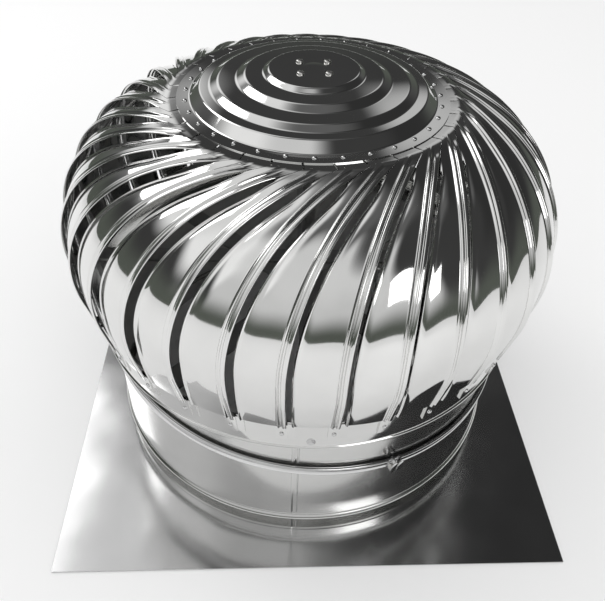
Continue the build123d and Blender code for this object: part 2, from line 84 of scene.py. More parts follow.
world = bpy.data.worlds.new("surround")
scene.world = world
world.use_nodes = True
surround = world.node_tree
surround.nodes["Background"].inputs["Color"].default_value = (1, 1, 1, 1)
rays = surround.nodes.new("ShaderNodeLightPath")
shown = surround.nodes.new("ShaderNodeMath")
shown.operation = "MAXIMUM"
surround.links.new(rays.outputs["Is Camera Ray"], shown.inputs[0])
surround.links.new(rays.outputs["Is Glossy Ray"], shown.inputs[1])
through = surround.nodes.new("ShaderNodeMath")
through.operation = "MAXIMUM"
surround.links.new(shown.outputs[0], through.inputs[0])
surround.links.new(rays.outputs["Is Transmission Ray"], through.inputs[1])
strength = surround.nodes.new("ShaderNodeMapRange")
strength.inputs["To Min"].default_value = daylight_level
strength.inputs["To Max"].default_value = white_level
surround.links.new(through.outputs[0], strength.inputs["Value"])
surround.links.new(strength.outputs["Result"], surround.nodes["Background"].inputs["Strength"])

for name, place, turn, size, power in (
    ("key_lamp", (-1.7, 1.3, 2.1), (-32, -39, 0), 1.3, 12),
    ("fill_lamp", (0.9, -1.7, 1.5), (50, 0, 28), 0.8, 5),
):
    bpy.ops.object.light_add(type="AREA", location=place)
    lamp = bpy.context.object
    lamp.name = name
    lamp.data.size = size
    lamp.data.energy = power
    lamp.rotation_euler = [radians(angle) for angle in turn]

# ---------------------------------------------------------------------------
# Reflection dome: a glowing sphere far outside the object that only polished
# metal shows, painted with reflections of a long pale opening ahead, pale panels
# high on the left, dark walls behind and on the right, and a dark skirt at the horizon.
reflection_dome_radius = 6
reflection_grey = 0.16
skirt_top = radians(25)
skirt_edge = radians(5)
skirt_colour = (0.10, 0.11, 0.095, 1)
bpy.ops.object.select_all(action="DESELECT")
bpy.ops.mesh.primitive_uv_sphere_add(segments=48, ring_count=24, radius=reflection_dome_radius)
reflection_dome = bpy.context.object
reflection_dome.name = "reflection_dome"
bpy.ops.object.mode_set(mode="EDIT")
bpy.ops.mesh.select_all(action="SELECT")
bpy.ops.mesh.flip_normals()
bpy.ops.object.mode_set(mode="OBJECT")
reflection_dome.visible_camera = False
reflection_dome.visible_diffuse = False
reflection_dome.visible_shadow = False
reflection_dome.visible_transmission = False
reflection_dome.visible_volume_scatter = False

painted_reflection_glow = bpy.data.materials.new("painted_reflection_glow")
painted_reflection_glow.use_nodes = True
tree = painted_reflection_glow.node_tree
tree.nodes.clear()
link = tree.links.new
dome_point = tree.nodes.new("ShaderNodeTexCoord")
direction = tree.nodes.new("ShaderNodeVectorMath")
direction.operation = "NORMALIZE"
link(dome_point.outputs["Object"], direction.inputs[0])
tone = None
# Painted reflections, each a soft round patch of glow: heading, height, inner and outer angle,
# tone.
for azimuth, elevation, inner, outer, shade in (
    (0, 90, 20, 75, 0.42),       # mid grey overhead
    (90, 42, 30, 62, 0.05),      # dark panel on the right
    (-80, 48, 20, 36, 1.00),     # pale panel high on the left
    (-150, 62, 22, 40, 0.85),    # and behind it
    (118, 54, 20, 44, 0.035),    # dark panel behind, to the right
    (180, 24, 26, 40, 0.05),     # dark wall behind
    (-96, 0, 30, 44, 0.05),      # dark post on the left
    (-8, 0, 50, 62, 0.66),       # long opening ahead
    (20, 84, 14, 29, 0.13),      # dark panel over it
    (-14, 56, 15, 33, 0.72),     # pale panel between the two
    (57, 57, 14, 31, 0.05),      # and a dark one beside it
    (-158, 27, 3, 13, 0.95),     # pale slit behind, to the left
    (160, 33, 2, 8, 0.60),       # and a dimmer one to the right
):
    up, out = sin(radians(elevation)), cos(radians(elevation))
    panel = tree.nodes.new("ShaderNodeVectorMath")
    panel.operation = "DOT_PRODUCT"
    panel.inputs[1].default_value = (
        out * sin(radians(azimuth)),
        -out * cos(radians(azimuth)),
        up,
    )
    link(direction.outputs[0], panel.inputs[0])
    soft = tree.nodes.new("ShaderNodeMapRange")
    soft.interpolation_type = "SMOOTHSTEP"
    soft.inputs["From Min"].default_value = cos(radians(outer))
    soft.inputs["From Max"].default_value = cos(radians(inner))
    link(panel.outputs["Value"], soft.inputs["Value"])
    mix = tree.nodes.new("ShaderNodeMix")
    mix.data_type = "RGBA"
    link(soft.outputs["Result"], mix.inputs["Factor"])
    if tone:
        link(tone, mix.inputs["A"])
    else:
        mix.inputs["A"].default_value = (reflection_grey, reflection_grey, reflection_grey, 1)
    mix.inputs["B"].default_value = (shade, shade, shade, 1)
    tone = mix.outputs["Result"]
height_up = tree.nodes.new("ShaderNodeSeparateXYZ")
link(direction.outputs[0], height_up.inputs[0])
skirt = tree.nodes.new("ShaderNodeMapRange")
skirt.interpolation_type = "SMOOTHSTEP"
skirt.inputs["From Min"].default_value = sin(skirt_top)
skirt.inputs["From Max"].default_value = sin(skirt_edge)
link(height_up.outputs["Z"], skirt.inputs["Value"])
hung = tree.nodes.new("ShaderNodeMix")
hung.data_type = "RGBA"
link(skirt.outputs["Result"], hung.inputs["Factor"])
link(tone, hung.inputs["A"])
hung.inputs["B"].default_value = skirt_colour
# The sphere glows in these painted reflection tones; it lights nothing and is seen only in the
# metal.
glow = tree.nodes.new("ShaderNodeEmission")
link(hung.outputs["Result"], glow.inputs["Color"])
glow.inputs["Strength"].default_value = 1.0
dome_output = tree.nodes.new("ShaderNodeOutputMaterial")
link(glow.outputs[0], dome_output.inputs["Surface"])
reflection_dome.data.materials.append(painted_reflection_glow)

# ---------------------------------------------------------------------------
# Flashing plate: one square of thin stainless sheet, with the edge of its round
# hole turned up into a rim. Rolled sheet, a little duller than the polished head.
smear_shade = 0.88
smear_dulling = 1.8


def sheet_steel(name, colour, gloss, ripple, grain, smears=12):
    """Stainless sheet: rolling grain, smears left by polishing, and slight buckles."""
    steel = bpy.data.materials.new(name)
    steel.use_nodes = True
    make = steel.node_tree.nodes.new
    join = steel.node_tree.links.new
    surface = steel.node_tree.nodes["Principled BSDF"]
    surface.inputs["Metallic"].default_value = 1.0
    where = make("ShaderNodeTexCoord")
    stretch = make("ShaderNodeMapping")
    stretch.inputs["Scale"].default_value = grain
    join(where.outputs["Object"], stretch.inputs["Vector"])
    lines = make("ShaderNodeTexNoise")
    lines.inputs["Scale"].default_value = 600
    lines.inputs["Detail"].default_value = 3
    join(stretch.outputs["Vector"], lines.inputs["Vector"])
    smear = make("ShaderNodeTexNoise")
    smear.inputs["Scale"].default_value = smears
    smear.inputs["Detail"].default_value = 5
    join(where.outputs["Object"], smear.inputs["Vector"])
    tint = make("ShaderNodeMapRange")
    tint.inputs["From Min"].default_value = 0.3
    tint.inputs["From Max"].default_value = 0.7
    join(smear.outputs["Fac"], tint.inputs["Value"])
    shade = make("ShaderNodeMix")
    shade.data_type = "RGBA"
    shade.inputs["A"].default_value = [smear_shade * value for value in colour] + [1]
    shade.inputs["B"].default_value = [*colour, 1]
    join(tint.outputs["Result"], shade.inputs["Factor"])
    join(shade.outputs["Result"], surface.inputs["Base Color"])
    dull = make("ShaderNodeMapRange")
    dull.inputs["From Min"].default_value = 0.35
    dull.inputs["From Max"].default_value = 0.7
    dull.inputs["To Min"].default_value = gloss
    dull.inputs["To Max"].default_value = gloss * smear_dulling
    join(smear.outputs["Fac"], dull.inputs["Value"])
    join(dull.outputs["Result"], surface.inputs["Roughness"])
    wave = make("ShaderNodeTexNoise")
    wave.inputs["Scale"].default_value = 10
    wave.inputs["Detail"].default_value = 1
    join(where.outputs["Object"], wave.inputs["Vector"])
    buckle = make("ShaderNodeBump")
    buckle.inputs["Strength"].default_value = 1.0
    buckle.inputs["Distance"].default_value = ripple
    join(wave.outputs["Fac"], buckle.inputs["Height"])
    brush = make("ShaderNodeBump")
    brush.inputs["Strength"].default_value = 0.04
    brush.inputs["Distance"].default_value = 0.00003
    join(lines.outputs["Fac"], brush.inputs["Height"])
    join(buckle.outputs["Normal"], brush.inputs["Normal"])
    join(brush.outputs["Normal"], surface.inputs["Normal"])
    return steel


def coat(name, steel):
    """Gives a solid of the frame its finish."""
    for place in nodes[name].material_slots:
        place.material = steel


plate_steel = sheet_steel("plate_steel", (0.66, 0.66, 0.66), 0.13, 0.0012, (1, 0.03, 1), 7)
coat("base_plate", plate_steel)

# ---------------------------------------------------------------------------
# Lower collar: a rolled strip with a stiffening bead near its foot, a lip
# spot welded to the plate, and a rim turned out at the slanted joint.
neck_radius = 0.250
neck_sheet = 0.001
joint_height = 0.1383
joint_tilt = radians(5.86)
joint_high_side = radians(159.5)
joint_gap = 0.00005
rim_radius = 0.2536
foot_radius = 0.253
foot_level = 0.002
foot_bend = 0.0005
foot_rise = 0.0006
collar_bead_height = 0.0294
collar_bead_reach = 0.004
collar_bead_half = 0.005
collar_middle = 0.06
past_joint = 0.2
round_steps = 256
joint_centre = Vector((0, 0, joint_height))
joint_normal = Vector((
    -sin(joint_tilt) * cos(joint_high_side),
    -sin(joint_tilt) * sin(joint_high_side),
    cos(joint_tilt),
))


def raise_wall(name, outline):
    """Sheet turned from an outline: a circle, then its edge drawn out again and again."""
    bpy.ops.object.select_all(action="DESELECT")
    radius, height = outline[0]
    bpy.ops.mesh.primitive_circle_add(vertices=round_steps, radius=radius, location=(0, 0, height))
    wall = bpy.context.object
    wall.name = name
    bpy.ops.object.transform_apply(location=True, rotation=True, scale=True)
    bpy.ops.object.mode_set(mode="EDIT")
    bpy.ops.mesh.select_all(action="SELECT")
    for next_radius, next_height in outline[1:]:
        bpy.ops.mesh.extrude_edges_move()
        ratio = next_radius / radius
        bpy.ops.transform.resize(value=(ratio, ratio, 1), center_override=(0, 0, height))
        bpy.ops.transform.translate(value=(0, 0, next_height - height))
        radius, height = next_radius, next_height
    return wall


def swelling(radius, middle, reach, half):
    """Rounded bead on a wall, as places to draw its edge out to."""
    shares = (-1, -0.75, -0.5, -0.25, 0, 0.25, 0.5, 0.75, 1)
    return [
        (radius + reach * (0.5 + 0.5 * cos(pi * share)), middle + half * share)
        for share in shares
    ]


def cut_at_joint(wall, side):
    """Cuts a wall off at the slanted joint and turns its edge out into a rim."""
    level = joint_centre + joint_normal * side * (joint_gap + neck_sheet / 2)
    bpy.ops.mesh.select_all(action="SELECT")
    bpy.ops.mesh.bisect(
        plane_co=level,
        plane_no=joint_normal,
        clear_outer=side < 0,
        clear_inner=side > 0,
    )
    bpy.ops.mesh.extrude_edges_move()
    bpy.ops.object.mode_set(mode="OBJECT")
    for corner in wall.data.vertices:
        if corner.select:
            out = corner.co - level
            out -= joint_normal * out.dot(joint_normal)
            corner.co = joint_centre + joint_normal * (level - joint_centre).dot(joint_normal)
            corner.co += out.normalized() * rim_radius
    bpy.ops.object.mode_set(mode="EDIT")


def finish_sheet(piece, thickness, offset, steel, slot, body, *replaced):
    """Gives a sheet its thickness and finish and sets it on its body."""
    bpy.ops.object.mode_set(mode="EDIT")
    bpy.ops.mesh.select_all(action="SELECT")
    bpy.ops.mesh.remove_doubles(threshold=0.00001)
    bpy.ops.mesh.normals_make_consistent(inside=False)
    bpy.ops.object.mode_set(mode="OBJECT")
    wall = piece.modifiers.new("wall", "SOLIDIFY")
    wall.thickness = thickness
    wall.offset = offset
    bpy.ops.object.modifier_apply(modifier="wall")
    bpy.ops.object.shade_smooth_by_angle(angle=radians(35))
    piece.data.materials.append(steel)
    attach(piece, body)
    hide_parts(*replaced)


neck_steel = sheet_steel("neck_steel", (0.70, 0.70, 0.69), 0.12, 0.0008, (0.03, 0.03, 1), 9)
collar_outline = [
    (foot_radius, foot_level),
    (neck_radius + foot_bend, foot_level),
    (neck_radius, foot_level + foot_rise),
]
collar_outline += swelling(neck_radius, collar_bead_height, collar_bead_reach, collar_bead_half)
collar_outline += [(neck_radius, collar_middle), (neck_radius, past_joint)]
collar = raise_wall("collar_skin", collar_outline)
cut_at_joint(collar, -1)
finish_sheet(collar, neck_sheet, -1, neck_steel, "neck_sheet", "base", "lower_collar")

# ---------------------------------------------------------------------------
# Throat: the same strip above the slanted joint, with its own rim and a
# rounded bead at the top that hides inside the head.
below_joint = 0.08
throat_middle = 0.16
throat_bead_height = 0.203
throat_bead = 0.002
throat_outline = [(neck_radius, below_joint), (neck_radius, throat_middle)]
throat_outline += swelling(neck_radius, throat_bead_height, throat_bead, throat_bead)
throat = raise_wall("throat_skin", throat_outline)
cut_at_joint(throat, 1)
finish_sheet(throat, neck_sheet, -1, neck_steel, "neck_sheet", "throat", "upper_throat")

# ---------------------------------------------------------------------------
# Lock seams: the ends of each strip are hooked into each other and pressed
# flat, which leaves a leaning flap with the rounded edge of the fold beside it.
seam_heading = radians(-94.7)
seam_lean = radians(20)
flap_width = 0.0066
flap_sheet = 0.0013
flap_round = 0.0005
fold_radius = 0.0011
fold_shift = 0.0038
collar_seam_ends = (0.0035, 0.1247)
throat_seam_ends = (0.1387, 0.2)


def lock_seam(name, ends, body):
    """Flap and fold modelled side by side at the origin, then set on the neck."""
    bottom, top = ends
    height = top - bottom
    bpy.ops.object.select_all(action="DESELECT")
    bpy.ops.mesh.primitive_cylinder_add(
        vertices=24, radius=fold_radius, depth=height, location=(0, fold_shift, 0)
    )
    fold = bpy.context.object
    bpy.ops.object.transform_apply(location=True, rotation=True, scale=True)
    bpy.ops.object.select_all(action="DESELECT")
    bpy.ops.mesh.primitive_cube_add(size=1)
    seam = bpy.context.object
    seam.name = name
    bpy.ops.object.mode_set(mode="EDIT")
    bpy.ops.mesh.select_all(action="SELECT")
    bpy.ops.transform.resize(value=(flap_sheet, flap_width, height))
    bpy.ops.mesh.bevel(offset=flap_round, segments=4)
    bpy.ops.object.mode_set(mode="OBJECT")
    seam.rotation_euler = (0, 0, seam_lean)
    bpy.ops.object.transform_apply(location=True, rotation=True, scale=True)
    fold.select_set(True)
    bpy.ops.object.join()
    seam.location = (
        neck_radius * cos(seam_heading),
        neck_radius * sin(seam_heading),
        (top + bottom) / 2,
    )
    seam.rotation_euler = (0, 0, seam_heading)
    bpy.ops.object.transform_apply(location=True, rotation=True, scale=True)
    bpy.ops.object.shade_smooth_by_angle(angle=radians(40))
    seam.data.materials.append(neck_steel)
    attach(seam, body)


lock_seam("collar_seam", collar_seam_ends, "base")
lock_seam("throat_seam", throat_seam_ends, "throat")

# ---------------------------------------------------------------------------
# Clamp band: a strip with a ridge rolled along each edge, drawn tight round
# both rims by a small screw through two rounded lugs.
lug_heading = radians(-68.6)
lug_gap = 0.006
lug_sheet = 0.002
lug_reach = 0.0085
lug_height = 0.023
lug_round = 0.0045
lug_soft_edge = 0.0004
band_sheet = 0.0009
band_inner = 0.2539
band_half = [
    (0.2525, -0.0057),
    (0.2538, -0.0060),
    (0.2549, -0.0056),
    (0.2557, -0.0048),
    (0.2559, -0.0042),
    (0.2557, -0.0036),
    (0.2551, -0.0027),
    (0.2549, -0.0018),
    (0.2549, 0.0),
]
band_outline = band_half + [(radius, -height) for radius, height in reversed(band_half[:-1])]
band = raise_wall("band_skin", band_outline)
bpy.ops.object.mode_set(mode="OBJECT")
for face in band.data.polygons:
    face.select = face.center.x > 0 and abs(face.center.y) < lug_gap / 2
bpy.ops.object.mode_set(mode="EDIT")
bpy.ops.mesh.select_mode(type="FACE")
bpy.ops.mesh.delete(type="FACE")
bpy.ops.mesh.select_mode(type="VERT")
bpy.ops.object.mode_set(mode="OBJECT")
for side in (-1, 1):
    bpy.ops.object.select_all(action="DESELECT")
    bpy.ops.mesh.primitive_cube_add(size=1)
    lug = bpy.context.object
    bpy.ops.object.mode_set(mode="EDIT")
    bpy.ops.mesh.select_all(action="SELECT")
    bpy.ops.transform.resize(value=(lug_reach, lug_sheet, lug_height))
    bpy.ops.mesh.select_all(action="DESELECT")
    bpy.ops.object.mode_set(mode="OBJECT")
    for edge in lug.data.edges:
        ends = [lug.data.vertices[index].co for index in edge.vertices]
        edge.select = all(end.x > 0 for end in ends) and abs(ends[0].y - ends[1].y) > lug_sheet / 2
    bpy.ops.object.mode_set(mode="EDIT")
    bpy.ops.mesh.select_mode(type="EDGE")
    bpy.ops.mesh.bevel(offset=lug_round, segments=8)
    bpy.ops.mesh.select_mode(type="VERT")
    bpy.ops.object.mode_set(mode="OBJECT")
    lug.location = (band_inner + lug_reach / 2, side * (lug_gap + lug_sheet) / 2, 0)
    bpy.ops.object.transform_apply(location=True, rotation=True, scale=True)
    soften = lug.modifiers.new("soften", "BEVEL")
    soften.width = lug_soft_edge
    soften.segments = 2
    bpy.ops.object.modifier_apply(modifier="soften")
    if side < 0:
        first_lug = lug
bpy.ops.object.select_all(action="DESELECT")
bpy.context.view_layer.objects.active = band
band.select_set(True)
strap = band.modifiers.new("strap", "SOLIDIFY")
strap.thickness = band_sheet
strap.offset = -1
bpy.ops.object.modifier_apply(modifier="strap")
first_lug.select_set(True)
lug.select_set(True)
bpy.ops.object.join()
across = Vector((cos(lug_heading), sin(lug_heading), 0))
lug_way = (across - joint_normal * across.dot(joint_normal)).normalized()
side_way = joint_normal.cross(lug_way)
on_joint = Matrix((lug_way, side_way, joint_normal)).transposed().to_4x4()
on_joint = Matrix.Translation(joint_centre) @ on_joint
band.matrix_world = on_joint
bpy.ops.object.transform_apply(location=True, rotation=True, scale=True)
bpy.ops.object.shade_smooth_by_angle(angle=radians(40))
band_steel = sheet_steel("band_steel", (0.72, 0.72, 0.72), 0.10, 0.0004, (0.05, 0.05, 1), 20)
band.data.materials.append(band_steel)
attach(band, "base")
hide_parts("clamp_band")

# ---------------------------------------------------------------------------
# Screws, nuts and the rivets inside: machine made and bright, slightly grained
# by the tools that turned and headed them.
bolt_steel = sheet_steel("bolt_steel", (0.74, 0.73, 0.71), 0.20, 0.0001, (1, 1, 0.2), 60)
for name in ("housing_nuts", "shaft_nut_top", "shaft_nuts"):
    coat(name, bolt_steel)
screw_radius = 0.0019
screw_half = 0.005
screw_head_radius = 0.0036
screw_head_height = 0.0024
screw_chamfer = 0.0004
screw_out = 0.62 * lug_reach


def set_screw_end(name, side, replaced):
    """Half of the clamp screw: its shank up to the middle and a low six-sided head."""
    bpy.ops.object.select_all(action="DESELECT")
    bpy.ops.mesh.primitive_cylinder_add(
        vertices=24, radius=screw_radius, depth=screw_half, location=(0, 0, screw_half / 2)
    )
    end = bpy.context.object
    bpy.ops.object.transform_apply(location=True, rotation=True, scale=True)
    bpy.ops.object.select_all(action="DESELECT")
    bpy.ops.mesh.primitive_cylinder_add(
        vertices=6,
        radius=screw_head_radius,
        depth=screw_head_height,
        location=(0, 0, screw_half + screw_head_height / 2),
    )
    head = bpy.context.object
    bpy.ops.object.transform_apply(location=True, rotation=True, scale=True)
    chamfer = head.modifiers.new("chamfer", "BEVEL")
    chamfer.width = screw_chamfer
    chamfer.segments = 2
    bpy.ops.object.modifier_apply(modifier="chamfer")
    end.select_set(True)
    bpy.context.view_layer.objects.active = end
    bpy.ops.object.join()
    end.name = name
    seat = Matrix.Translation((band_inner + screw_out, 0, 0))
    end.matrix_world = on_joint @ seat @ Matrix.Rotation(side * pi / 2, 4, "X")
    bpy.ops.object.transform_apply(location=True, rotation=True, scale=True)
    bpy.ops.object.shade_smooth_by_angle(angle=radians(40))
    end.data.materials.append(bolt_steel)
    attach(end, "base")
    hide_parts(replaced)


set_screw_end("clamp_screw_head", 1, "clamp_bolt")
set_screw_end("clamp_screw_nut", -1, "clamp_nut")
rivet_steel = sheet_steel("rivet_steel", (0.70, 0.70, 0.70), 0.16, 0.0001, (1, 1, 1), 90)
for name in ("bracket_rivets", "spider_rivets"):
    coat(name, rivet_steel)

# ---------------------------------------------------------------------------
# Cross bracket and spider: hot rolled flat bar with folded ends, left as it
# came from the mill, so grey and satin rather than polished.
bar_steel = sheet_steel("bar_steel", (0.42, 0.42, 0.42), 0.38, 0.0004, (0.05, 1, 1), 26)
coat("shaft_bracket", bar_steel)
coat("rotor_spider", bar_steel)

# ---------------------------------------------------------------------------
# Shaft, hub and housing are turned, with fine rings from the lathe; the
# bearing rings are ground and much brighter.
turned_steel = sheet_steel("turned_steel", (0.58, 0.58, 0.58), 0.28, 0.0001, (0.02, 0.02, 1), 40)
for name in ("centre_shaft", "lower_hub", "bearing_housing"):
    coat(name, turned_steel)
bearing_steel = sheet_steel(
    "bearing_steel", (0.80, 0.80, 0.80), 0.09, 0.00005, (0.02, 0.02, 1), 50
)
for name in ("lower_inner_ring", "upper_inner_ring", "lower_outer_ring", "upper_outer_ring"):
    coat(name, bearing_steel)

# ---------------------------------------------------------------------------
# Lower ring: a rolled hoop of the head's own sheet that carries the feet of
# all the blades. It leans outward as it rises and has a bead at its lip.
ring_bottom = 0.180
ring_top = 0.232
ring_bottom_radius = 0.2592
ring_slope = radians(7.9)
ring_bead = 0.0016
head_sheet = 0.001


def ring_radius(height):
    """Radius of the ring's outer face at a height."""
    return ring_bottom_radius + (height - ring_bottom) * tan(ring_slope)


head_steel = sheet_steel("head_steel", (0.80, 0.80, 0.79), 0.045, 0.0006, (0.02, 0.02, 1), 10)
bead_top = ring_bottom + 2 * ring_bead
ring_outline = [(ring_radius(ring_bottom), ring_bottom)]
for share in (0.2, 0.35, 0.5, 0.65, 0.8):
    level = ring_bottom + 2 * ring_bead * share
    ring_outline.append((ring_radius(level) + ring_bead * sin(pi * share), level))
for level in (bead_top, 0.195, 0.215, ring_top):
    ring_outline.append((ring_radius(level), level))
ring = raise_wall("ring_skin", ring_outline)
finish_sheet(ring, head_sheet, -1, head_steel, "head_sheet", "rotor", "lower_ring")

# ---------------------------------------------------------------------------
# Top disc: one pressed dish of the head's sheet. Each step is a shallow cone
# that ends in a small rounded riser; the flat flange at the rim is riveted.
flange_height = 0.4453
flange_radius = 0.1423
crown_rise = 0.0263
disc_round = 0.0016
disc_pole = 0.0002
arc_steps = 6
longest_cut = 0.45
disc_points = [
    (flange_radius, 0),
    (0.1285, 0),
    (0.1186, 0.0100),
    (0.1078, 0.0106),
    (0.0992, 0.0152),
    (0.0803, 0.0160),
    (0.0714, 0.0211),
    (0.0525, 0.0218),
    (0.0470, crown_rise),
    (0.0135, crown_rise),
    (0.0, 0.0281),
]


def rounded(points, radius):
    """The outline with every corner but the ends replaced by a small arc."""
    result = [points[0]]
    for before, corner, after in zip(points, points[1:], points[2:]):
        corner = Vector(corner)
        back, on = Vector(before) - corner, Vector(after) - corner
        reach = min(radius, back.length * longest_cut, on.length * longest_cut)
        start = corner + back.normalized() * reach
        end = corner + on.normalized() * reach
        for step in range(arc_steps + 1):
            share = step / arc_steps
            place = start.lerp(corner, share).lerp(corner.lerp(end, share), share)
            result.append((place.x, place.y))
    return result + [points[-1]]


disc_outline = []
for radius, rise in rounded(disc_points, disc_round):
    disc_outline.append((max(radius, disc_pole), flange_height + rise))
disc = raise_wall("disc_skin", disc_outline)
bpy.ops.mesh.merge(type="CENTER")
finish_sheet(disc, head_sheet, -1, head_steel, "head_sheet", "rotor", "top_disc")

# ---------------------------------------------------------------------------
# Crown bolts: four low round heads on the crown, with shanks that run through
# the bearing housing's flange to nuts below.
crown_bolt_radius = 0.003
crown_bolt_length = 0.010
crown_bolt_reach = 0.0145
head_steps = ((1.32, 0), (1.0, 0.0011), (0.90, 0.0007), (0.66, 0.0005), (0.3, 0.0002))
crown_bolts = []
for x_side, y_side in ((1, 1), (-1, 1), (-1, -1), (1, -1)):
    bpy.ops.object.select_all(action="DESELECT")
    bpy.ops.mesh.primitive_cylinder_add(
        vertices=32,
        radius=crown_bolt_radius,
        depth=crown_bolt_length,
        location=(0, 0, -crown_bolt_length / 2),
    )
    bolt = bpy.context.object
    bpy.ops.object.transform_apply(location=True, rotation=True, scale=True)
    bpy.ops.object.mode_set(mode="EDIT")
    bpy.ops.mesh.select_all(action="DESELECT")
    bpy.ops.object.mode_set(mode="OBJECT")
    for face in bolt.data.polygons:
        face.select = face.normal.z > 0.9
    bpy.ops.object.mode_set(mode="EDIT")
    bpy.ops.mesh.select_mode(type="FACE")
    for ratio, rise in head_steps:
        bpy.ops.mesh.extrude_region_move(TRANSFORM_OT_translate={"value": (0, 0, rise)})
        bpy.ops.transform.resize(value=(ratio, ratio, 1))
    bpy.ops.mesh.select_mode(type="VERT")
    bpy.ops.object.mode_set(mode="OBJECT")
    bolt.location = (
        x_side * crown_bolt_reach,
        y_side * crown_bolt_reach,
        flange_height + crown_rise,
    )
    bpy.ops.object.transform_apply(location=True, rotation=True, scale=True)
    crown_bolts.append(bolt)
bpy.ops.object.select_all(action="DESELECT")
for bolt in crown_bolts:
    bolt.select_set(True)
bpy.context.view_layer.objects.active = crown_bolts[0]
bpy.ops.object.join()
bolts = crown_bolts[0]
bolts.name = "crown_bolt_heads"
bpy.ops.object.shade_smooth_by_angle(angle=radians(50))
bolts.data.materials.append(bolt_steel)
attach(bolts, "rotor")
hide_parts("housing_bolts")

# ---------------------------------------------------------------------------
# Blades: thirty-two pressed louvres that make the bulb. Each has a folded hem
# along its leading edge, a groove and a rib beside it, a rolled trailing edge
# that stands in under the next hem, and tabs riveted to the ring and the disc.
blade_count = 32
pitch = 2 * pi / blade_count
bulb_radius = 0.2835
shoulder_radius = 0.1475
widest_height = 0.298
flank_slope = radians(13.8)
blade_foot = 0.226
rise_start_height = 0.235
tip_radius = 0.152
edge_foot_distance = 0.1355
edge_foot_heading = radians(-35.0)
hem_places = [0, 0.0003, 0.0008, 0.0015, 0.0024, 0.0032, 0.0037, 0.0041, 0.0045, 0.0051]
hem_height = 0.002
hem_nose = 0.0006
hem_fall_start = 0.0034
hem_fall_end = 0.0050
hem_vanish_radius = 0.160
hem_end_radius = 0.168
slot_width = 0.005
slot_closed = 0.0004
slot_closing_radius = 0.190
tip_sink = 0.0003
louvre_rise = 0.007
louvre_shutting_radius = 0.200
panel_curl = 0.0019
curl_power = 2.4
curl_peak = 0.13
rib_start = 0.0058
rib_width = 0.004
rib_height = 0.002
panel_start = 0.0106
bead_width = 0.003
bead_height = 0.0015
disc_rivet_heading = radians(-69.5)
rivet_height = 0.212
rivet_shift = 0.005 / ring_radius(rivet_height)
rivet_heading = edge_foot_heading - acos(edge_foot_distance / bulb_radius) - rivet_shift


def travel_at_radius(radius):
    """Distance up the shoulder at which the bulb has narrowed to a radius."""
    return shoulder_radius * acos((radius - bulb_radius + shoulder_radius) / shoulder_radius)


flank_start = -shoulder_radius * flank_slope
flank_top = widest_height - shoulder_radius * sin(flank_slope)
flank_end = flank_start - (flank_top - blade_foot) / cos(flank_slope)
rise_start = flank_start - (flank_top - rise_start_height) / cos(flank_slope)
tip_travel = travel_at_radius(tip_radius)
hem_vanish = travel_at_radius(hem_vanish_radius)
hem_end = travel_at_radius(hem_end_radius)


def bulb_point(travel):
    """Radius, height and lean of the bulb at a distance up it."""
    lean = max(travel, flank_start) / shoulder_radius
    past = min(travel - flank_start, 0)
    radius = bulb_radius - shoulder_radius * (1 - cos(lean)) - past * sin(lean)
    return radius, widest_height + shoulder_radius * sin(lean) + past * cos(lean), lean


def edge_heading(radius):
    """Heading of the leading edge, which is a straight line in plan."""
    return edge_foot_heading - acos(edge_foot_distance / radius)


def ease(value, start, end):
    """Smooth step from 0 at the start to 1 at the end."""
    share = min(max((value - start) / (end - start), 0), 1)
    return share * share * (3 - 2 * share)


def hump(distance, start, width):
    """Rounded ridge across the sheet, from 0 at its start to 1 at its middle."""
    share = min(max((distance - start) / width, 0), 1)
    return 0.5 - 0.5 * cos(2 * pi * share)


def blade_row(travel):
    """Places across the blade, from the hem to the rolled edge."""
    radius, height, lean = bulb_point(travel)
    along = edge_foot_distance / sqrt(radius**2 - edge_foot_distance**2)
    slant = sqrt(1 + (sin(max(lean, 0)) * along) ** 2)
    closing = ease(travel, travel_at_radius(slot_closing_radius), hem_vanish)
    slot = slot_width + (slot_closed - slot_width) * closing
    flattening = ease(travel, hem_end, tip_travel)
    sink = hem_height + (tip_sink - hem_height) * flattening
    shutting = ease(travel, travel_at_radius(louvre_shutting_radius), hem_vanish)
    opening = ease(travel, rise_start, 0)
    rise = (head_sheet + (louvre_rise - head_sheet) * opening) * (1 - shutting)
    hem = hem_height * (1 - ease(travel, hem_end, hem_vanish))
    right = edge_heading(bulb_radius if travel < 0 else radius)
    left = right - pitch + slot * slant / radius

    def on_bulb(heading, depth):
        out = radius - depth * cos(lean)
        return Vector((out * cos(heading), out * sin(heading), height - depth * sin(lean)))

    start, end = on_bulb(right, sink), on_bulb(left, sink + rise)
    width = (end - start).length
    middle = (left + right) / 2
    outward = Vector((cos(lean) * cos(middle), cos(lean) * sin(middle), sin(lean)))
    across = (end - start).normalized()
    outward = (outward - across * outward.dot(across)).normalized()
    bow = radius * (1 - cos((right - left) / 2)) * cos(lean)
    curl = panel_curl * opening * (1 - shutting)
    reach = width / slant
    places = hem_places + [rib_start]
    places += [rib_start + rib_width * share / 8 for share in range(1, 9)]
    flat_run = reach - bead_width - panel_start
    places += [panel_start + flat_run * share / 7 for share in range(8)]
    places += [reach - bead_width + bead_width * share / 6 for share in range(1, 7)]
    row = []
    for distance in places:
        proud = hem * ease(distance, -hem_nose, hem_nose)
        proud *= 1 - ease(distance, hem_fall_start, hem_fall_end)
        proud += rib_height * (1 - flattening) * hump(distance, rib_start, rib_width)
        proud += bead_height * (1 - shutting) * hump(distance, reach - bead_width, bead_width)
        run = distance * slant
        proud += 4 * bow * run / width * (1 - run / width)
        proud += curl * (run / width) ** curl_power * (1 - run / width) / curl_peak
        row.append(start + across * run + outward * proud)
    return row


